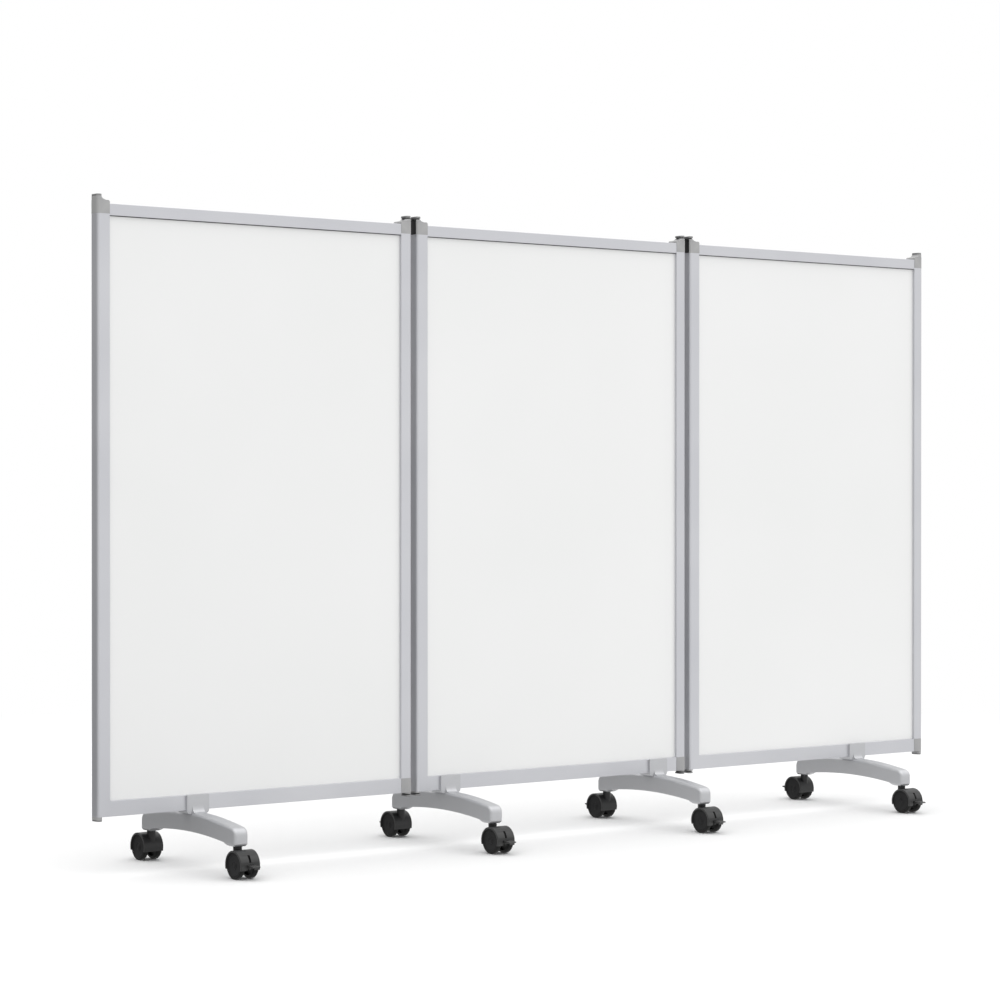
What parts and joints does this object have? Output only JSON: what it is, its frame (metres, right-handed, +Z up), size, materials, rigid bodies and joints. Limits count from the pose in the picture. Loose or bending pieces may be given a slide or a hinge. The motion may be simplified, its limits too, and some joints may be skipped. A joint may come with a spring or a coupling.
{
  "type": "rolling whiteboard",
  "caption": "Folding whiteboard room divider: framed glossy boards in a line on arched feet with braked twin-wheel castors.",
  "frame": {"origin": "on the floor, under the middle of the middle board", "axes": "+X along the line of boards to the viewer's right, -Y the front, +Z up"},
  "size_m": [3.1386, 0.6408, 1.829],
  "materials": {
    "frame_aluminium": "satin",
    "board_core": "matte",
    "writing_surface": "gloss",
    "corner_cap_grey": "satin",
    "hinge_plug_dark": "satin",
    "hinge_black": "satin",
    "foot_silver": "satin",
    "castor_black": "satin",
    "wheel_black": "satin",
    "stem_steel": "satin"
  },
  "bodies": {
    "left_panel": {"stiles_left": "frame_aluminium", "rails_left": "frame_aluminium", "board_core_left": "board_core", "writing_sheets_left": "writing_surface", "corner_caps_left": "corner_cap_grey", "hinge_pins_left": "hinge_plug_dark", "castor_stems_left": "stem_steel", "foot_left": "foot_silver"},
    "middle_panel": {"stiles_middle": "frame_aluminium", "rails_middle": "frame_aluminium", "board_core_middle": "board_core", "writing_sheets_middle": "writing_surface", "corner_caps_middle": "corner_cap_grey", "hinge_pins_middle": "hinge_plug_dark", "castor_stems_middle": "stem_steel", "foot_middle_left": "foot_silver", "foot_middle_right": "foot_silver"},
    "right_panel": {"stiles_right": "frame_aluminium", "rails_right": "frame_aluminium", "board_core_right": "board_core", "writing_sheets_right": "writing_surface", "corner_caps_right": "corner_cap_grey", "hinge_pins_right": "hinge_plug_dark", "castor_stems_right": "stem_steel", "foot_right": "foot_silver"},
    "left_link": {"hinge_links_left": "hinge_black"},
    "right_link": {"hinge_links_right": "hinge_black"},
    "castor_left_front": {"castor_housing_left_front": "castor_black"},
    "brake_left_front": {"brake_lever_left_front": "castor_black"},
    "wheel_a_left_front": {"castor_wheel_a_left_front": "wheel_black"},
    "wheel_b_left_front": {"castor_wheel_b_left_front": "wheel_black"},
    "castor_left_rear": {"castor_housing_left_rear": "castor_black"},
    "brake_left_rear": {"brake_lever_left_rear": "castor_black"},
    "wheel_a_left_rear": {"castor_wheel_a_left_rear": "wheel_black"},
    "wheel_b_left_rear": {"castor_wheel_b_left_rear": "wheel_black"},
    "castor_middle_left_front": {"castor_housing_middle_left_front": "castor_black"},
    "brake_middle_left_front": {"brake_lever_middle_left_front": "castor_black"},
    "wheel_a_middle_left_front": {"castor_wheel_a_middle_left_front": "wheel_black"},
    "wheel_b_middle_left_front": {"castor_wheel_b_middle_left_front": "wheel_black"},
    "castor_middle_left_rear": {"castor_housing_middle_left_rear": "castor_black"},
    "brake_middle_left_rear": {"brake_lever_middle_left_rear": "castor_black"},
    "wheel_a_middle_left_rear": {"castor_wheel_a_middle_left_rear": "wheel_black"},
    "wheel_b_middle_left_rear": {"castor_wheel_b_middle_left_rear": "wheel_black"},
    "castor_middle_right_front": {"castor_housing_middle_right_front": "castor_black"},
    "brake_middle_right_front": {"brake_lever_middle_right_front": "castor_black"},
    "wheel_a_middle_right_front": {"castor_wheel_a_middle_right_front": "wheel_black"},
    "wheel_b_middle_right_front": {"castor_wheel_b_middle_right_front": "wheel_black"},
    "castor_middle_right_rear": {"castor_housing_middle_right_rear": "castor_black"},
    "brake_middle_right_rear": {"brake_lever_middle_right_rear": "castor_black"},
    "wheel_a_middle_right_rear": {"castor_wheel_a_middle_right_rear": "wheel_black"},
    "wheel_b_middle_right_rear": {"castor_wheel_b_middle_right_rear": "wheel_black"},
    "castor_right_front": {"castor_housing_right_front": "castor_black"},
    "brake_right_front": {"brake_lever_right_front": "castor_black"},
    "wheel_a_right_front": {"castor_wheel_a_right_front": "wheel_black"},
    "wheel_b_right_front": {"castor_wheel_b_right_front": "wheel_black"},
    "castor_right_rear": {"castor_housing_right_rear": "castor_black"},
    "brake_right_rear": {"brake_lever_right_rear": "castor_black"},
    "wheel_a_right_rear": {"castor_wheel_a_right_rear": "wheel_black"},
    "wheel_b_right_rear": {"castor_wheel_b_right_rear": "wheel_black"}
  },
  "joints": [
    {"name": "left_link_fold", "type": "hinge", "parent": "middle_panel", "child": "left_link", "pos_m": [-0.505, 0, 0], "axis": [0, 0, 1], "range_deg": [-85, 85]},
    {"name": "right_link_fold", "type": "hinge", "parent": "middle_panel", "child": "right_link", "pos_m": [0.505, 0, 0], "axis": [0, 0, 1], "range_deg": [-85, 85]},
    {"name": "left_panel_fold", "type": "hinge", "parent": "left_link", "child": "left_panel", "pos_m": [-0.547, 0, 0], "axis": [0, 0, 1], "range_deg": [-85, 85]},
    {"name": "right_panel_fold", "type": "hinge", "parent": "right_link", "child": "right_panel", "pos_m": [0.547, 0, 0], "axis": [0, 0, 1], "range_deg": [-85, 85]},
    {"name": "castor_left_front_swivel", "type": "hinge", "parent": "left_panel", "child": "castor_left_front", "pos_m": [-1.26, -0.225, 0.08], "axis": [0, 0, 1], "continuous": true},
    {"name": "castor_left_rear_swivel", "type": "hinge", "parent": "left_panel", "child": "castor_left_rear", "pos_m": [-1.26, 0.225, 0.08], "axis": [0, 0, 1], "continuous": true},
    {"name": "castor_middle_left_front_swivel", "type": "hinge", "parent": "middle_panel", "child": "castor_middle_left_front", "pos_m": [-0.4, -0.225, 0.08], "axis": [0, 0, 1], "continuous": true},
    {"name": "castor_middle_left_rear_swivel", "type": "hinge", "parent": "middle_panel", "child": "castor_middle_left_rear", "pos_m": [-0.4, 0.225, 0.08], "axis": [0, 0, 1], "continuous": true},
    {"name": "castor_middle_right_front_swivel", "type": "hinge", "parent": "middle_panel", "child": "castor_middle_right_front", "pos_m": [0.4, -0.225, 0.08], "axis": [0, 0, 1], "continuous": true},
    {"name": "castor_middle_right_rear_swivel", "type": "hinge", "parent": "middle_panel", "child": "castor_middle_right_rear", "pos_m": [0.4, 0.225, 0.08], "axis": [0, 0, 1], "continuous": true},
    {"name": "castor_right_front_swivel", "type": "hinge", "parent": "right_panel", "child": "castor_right_front", "pos_m": [1.26, -0.225, 0.08], "axis": [0, 0, 1], "continuous": true},
    {"name": "castor_right_rear_swivel", "type": "hinge", "parent": "right_panel", "child": "castor_right_rear", "pos_m": [1.26, 0.225, 0.08], "axis": [0, 0, 1], "continuous": true},
    {"name": "castor_left_front_brake", "type": "hinge", "parent": "castor_left_front", "child": "brake_left_front", "pos_m": [-1.26, -0.274, 0.0515], "axis": [1, 0, 0], "range_deg": [0, 14]},
    {"name": "castor_left_rear_brake", "type": "hinge", "parent": "castor_left_rear", "child": "brake_left_rear", "pos_m": [-1.26, 0.274, 0.0515], "axis": [-1, 0, 0], "range_deg": [0, 14]},
    {"name": "castor_middle_left_front_brake", "type": "hinge", "parent": "castor_middle_left_front", "child": "brake_middle_left_front", "pos_m": [-0.4, -0.274, 0.0515], "axis": [1, 0, 0], "range_deg": [0, 14]},
    {"name": "castor_middle_left_rear_brake", "type": "hinge", "parent": "castor_middle_left_rear", "child": "brake_middle_left_rear", "pos_m": [-0.4, 0.274, 0.0515], "axis": [-1, 0, 0], "range_deg": [0, 14]},
    {"name": "castor_middle_right_front_brake", "type": "hinge", "parent": "castor_middle_right_front", "child": "brake_middle_right_front", "pos_m": [0.4, -0.274, 0.0515], "axis": [1, 0, 0], "range_deg": [0, 14]},
    {"name": "castor_middle_right_rear_brake", "type": "hinge", "parent": "castor_middle_right_rear", "child": "brake_middle_right_rear", "pos_m": [0.4, 0.274, 0.0515], "axis": [-1, 0, 0], "range_deg": [0, 14]},
    {"name": "castor_right_front_brake", "type": "hinge", "parent": "castor_right_front", "child": "brake_right_front", "pos_m": [1.26, -0.274, 0.0515], "axis": [1, 0, 0], "range_deg": [0, 14]},
    {"name": "castor_right_rear_brake", "type": "hinge", "parent": "castor_right_rear", "child": "brake_right_rear", "pos_m": [1.26, 0.274, 0.0515], "axis": [-1, 0, 0], "range_deg": [0, 14]},
    {"name": "castor_left_front_wheel_a_spin", "type": "hinge", "parent": "castor_left_front", "child": "wheel_a_left_front", "pos_m": [-1.26, -0.25, 0.0375], "axis": [1, 0, 0], "continuous": true},
    {"name": "castor_left_front_wheel_b_spin", "type": "hinge", "parent": "castor_left_front", "child": "wheel_b_left_front", "pos_m": [-1.26, -0.25, 0.0375], "axis": [1, 0, 0], "continuous": true},
    {"name": "castor_left_rear_wheel_a_spin", "type": "hinge", "parent": "castor_left_rear", "child": "wheel_a_left_rear", "pos_m": [-1.26, 0.25, 0.0375], "axis": [1, 0, 0], "continuous": true},
    {"name": "castor_left_rear_wheel_b_spin", "type": "hinge", "parent": "castor_left_rear", "child": "wheel_b_left_rear", "pos_m": [-1.26, 0.25, 0.0375], "axis": [1, 0, 0], "continuous": true},
    {"name": "castor_middle_left_front_wheel_a_spin", "type": "hinge", "parent": "castor_middle_left_front", "child": "wheel_a_middle_left_front", "pos_m": [-0.4, -0.25, 0.0375], "axis": [1, 0, 0], "continuous": true},
    {"name": "castor_middle_left_front_wheel_b_spin", "type": "hinge", "parent": "castor_middle_left_front", "child": "wheel_b_middle_left_front", "pos_m": [-0.4, -0.25, 0.0375], "axis": [1, 0, 0], "continuous": true},
    {"name": "castor_middle_left_rear_wheel_a_spin", "type": "hinge", "parent": "castor_middle_left_rear", "child": "wheel_a_middle_left_rear", "pos_m": [-0.4, 0.25, 0.0375], "axis": [1, 0, 0], "continuous": true},
    {"name": "castor_middle_left_rear_wheel_b_spin", "type": "hinge", "parent": "castor_middle_left_rear", "child": "wheel_b_middle_left_rear", "pos_m": [-0.4, 0.25, 0.0375], "axis": [1, 0, 0], "continuous": true},
    {"name": "castor_middle_right_front_wheel_a_spin", "type": "hinge", "parent": "castor_middle_right_front", "child": "wheel_a_middle_right_front", "pos_m": [0.4, -0.25, 0.0375], "axis": [1, 0, 0], "continuous": true},
    {"name": "castor_middle_right_front_wheel_b_spin", "type": "hinge", "parent": "castor_middle_right_front", "child": "wheel_b_middle_right_front", "pos_m": [0.4, -0.25, 0.0375], "axis": [1, 0, 0], "continuous": true},
    {"name": "castor_middle_right_rear_wheel_a_spin", "type": "hinge", "parent": "castor_middle_right_rear", "child": "wheel_a_middle_right_rear", "pos_m": [0.4, 0.25, 0.0375], "axis": [1, 0, 0], "continuous": true},
    {"name": "castor_middle_right_rear_wheel_b_spin", "type": "hinge", "parent": "castor_middle_right_rear", "child": "wheel_b_middle_right_rear", "pos_m": [0.4, 0.25, 0.0375], "axis": [1, 0, 0], "continuous": true},
    {"name": "castor_right_front_wheel_a_spin", "type": "hinge", "parent": "castor_right_front", "child": "wheel_a_right_front", "pos_m": [1.26, -0.25, 0.0375], "axis": [1, 0, 0], "continuous": true},
    {"name": "castor_right_front_wheel_b_spin", "type": "hinge", "parent": "castor_right_front", "child": "wheel_b_right_front", "pos_m": [1.26, -0.25, 0.0375], "axis": [1, 0, 0], "continuous": true},
    {"name": "castor_right_rear_wheel_a_spin", "type": "hinge", "parent": "castor_right_rear", "child": "wheel_a_right_rear", "pos_m": [1.26, 0.25, 0.0375], "axis": [1, 0, 0], "continuous": true},
    {"name": "castor_right_rear_wheel_b_spin", "type": "hinge", "parent": "castor_right_rear", "child": "wheel_b_right_rear", "pos_m": [1.26, 0.25, 0.0375], "axis": [1, 0, 0], "continuous": true}
  ]
}
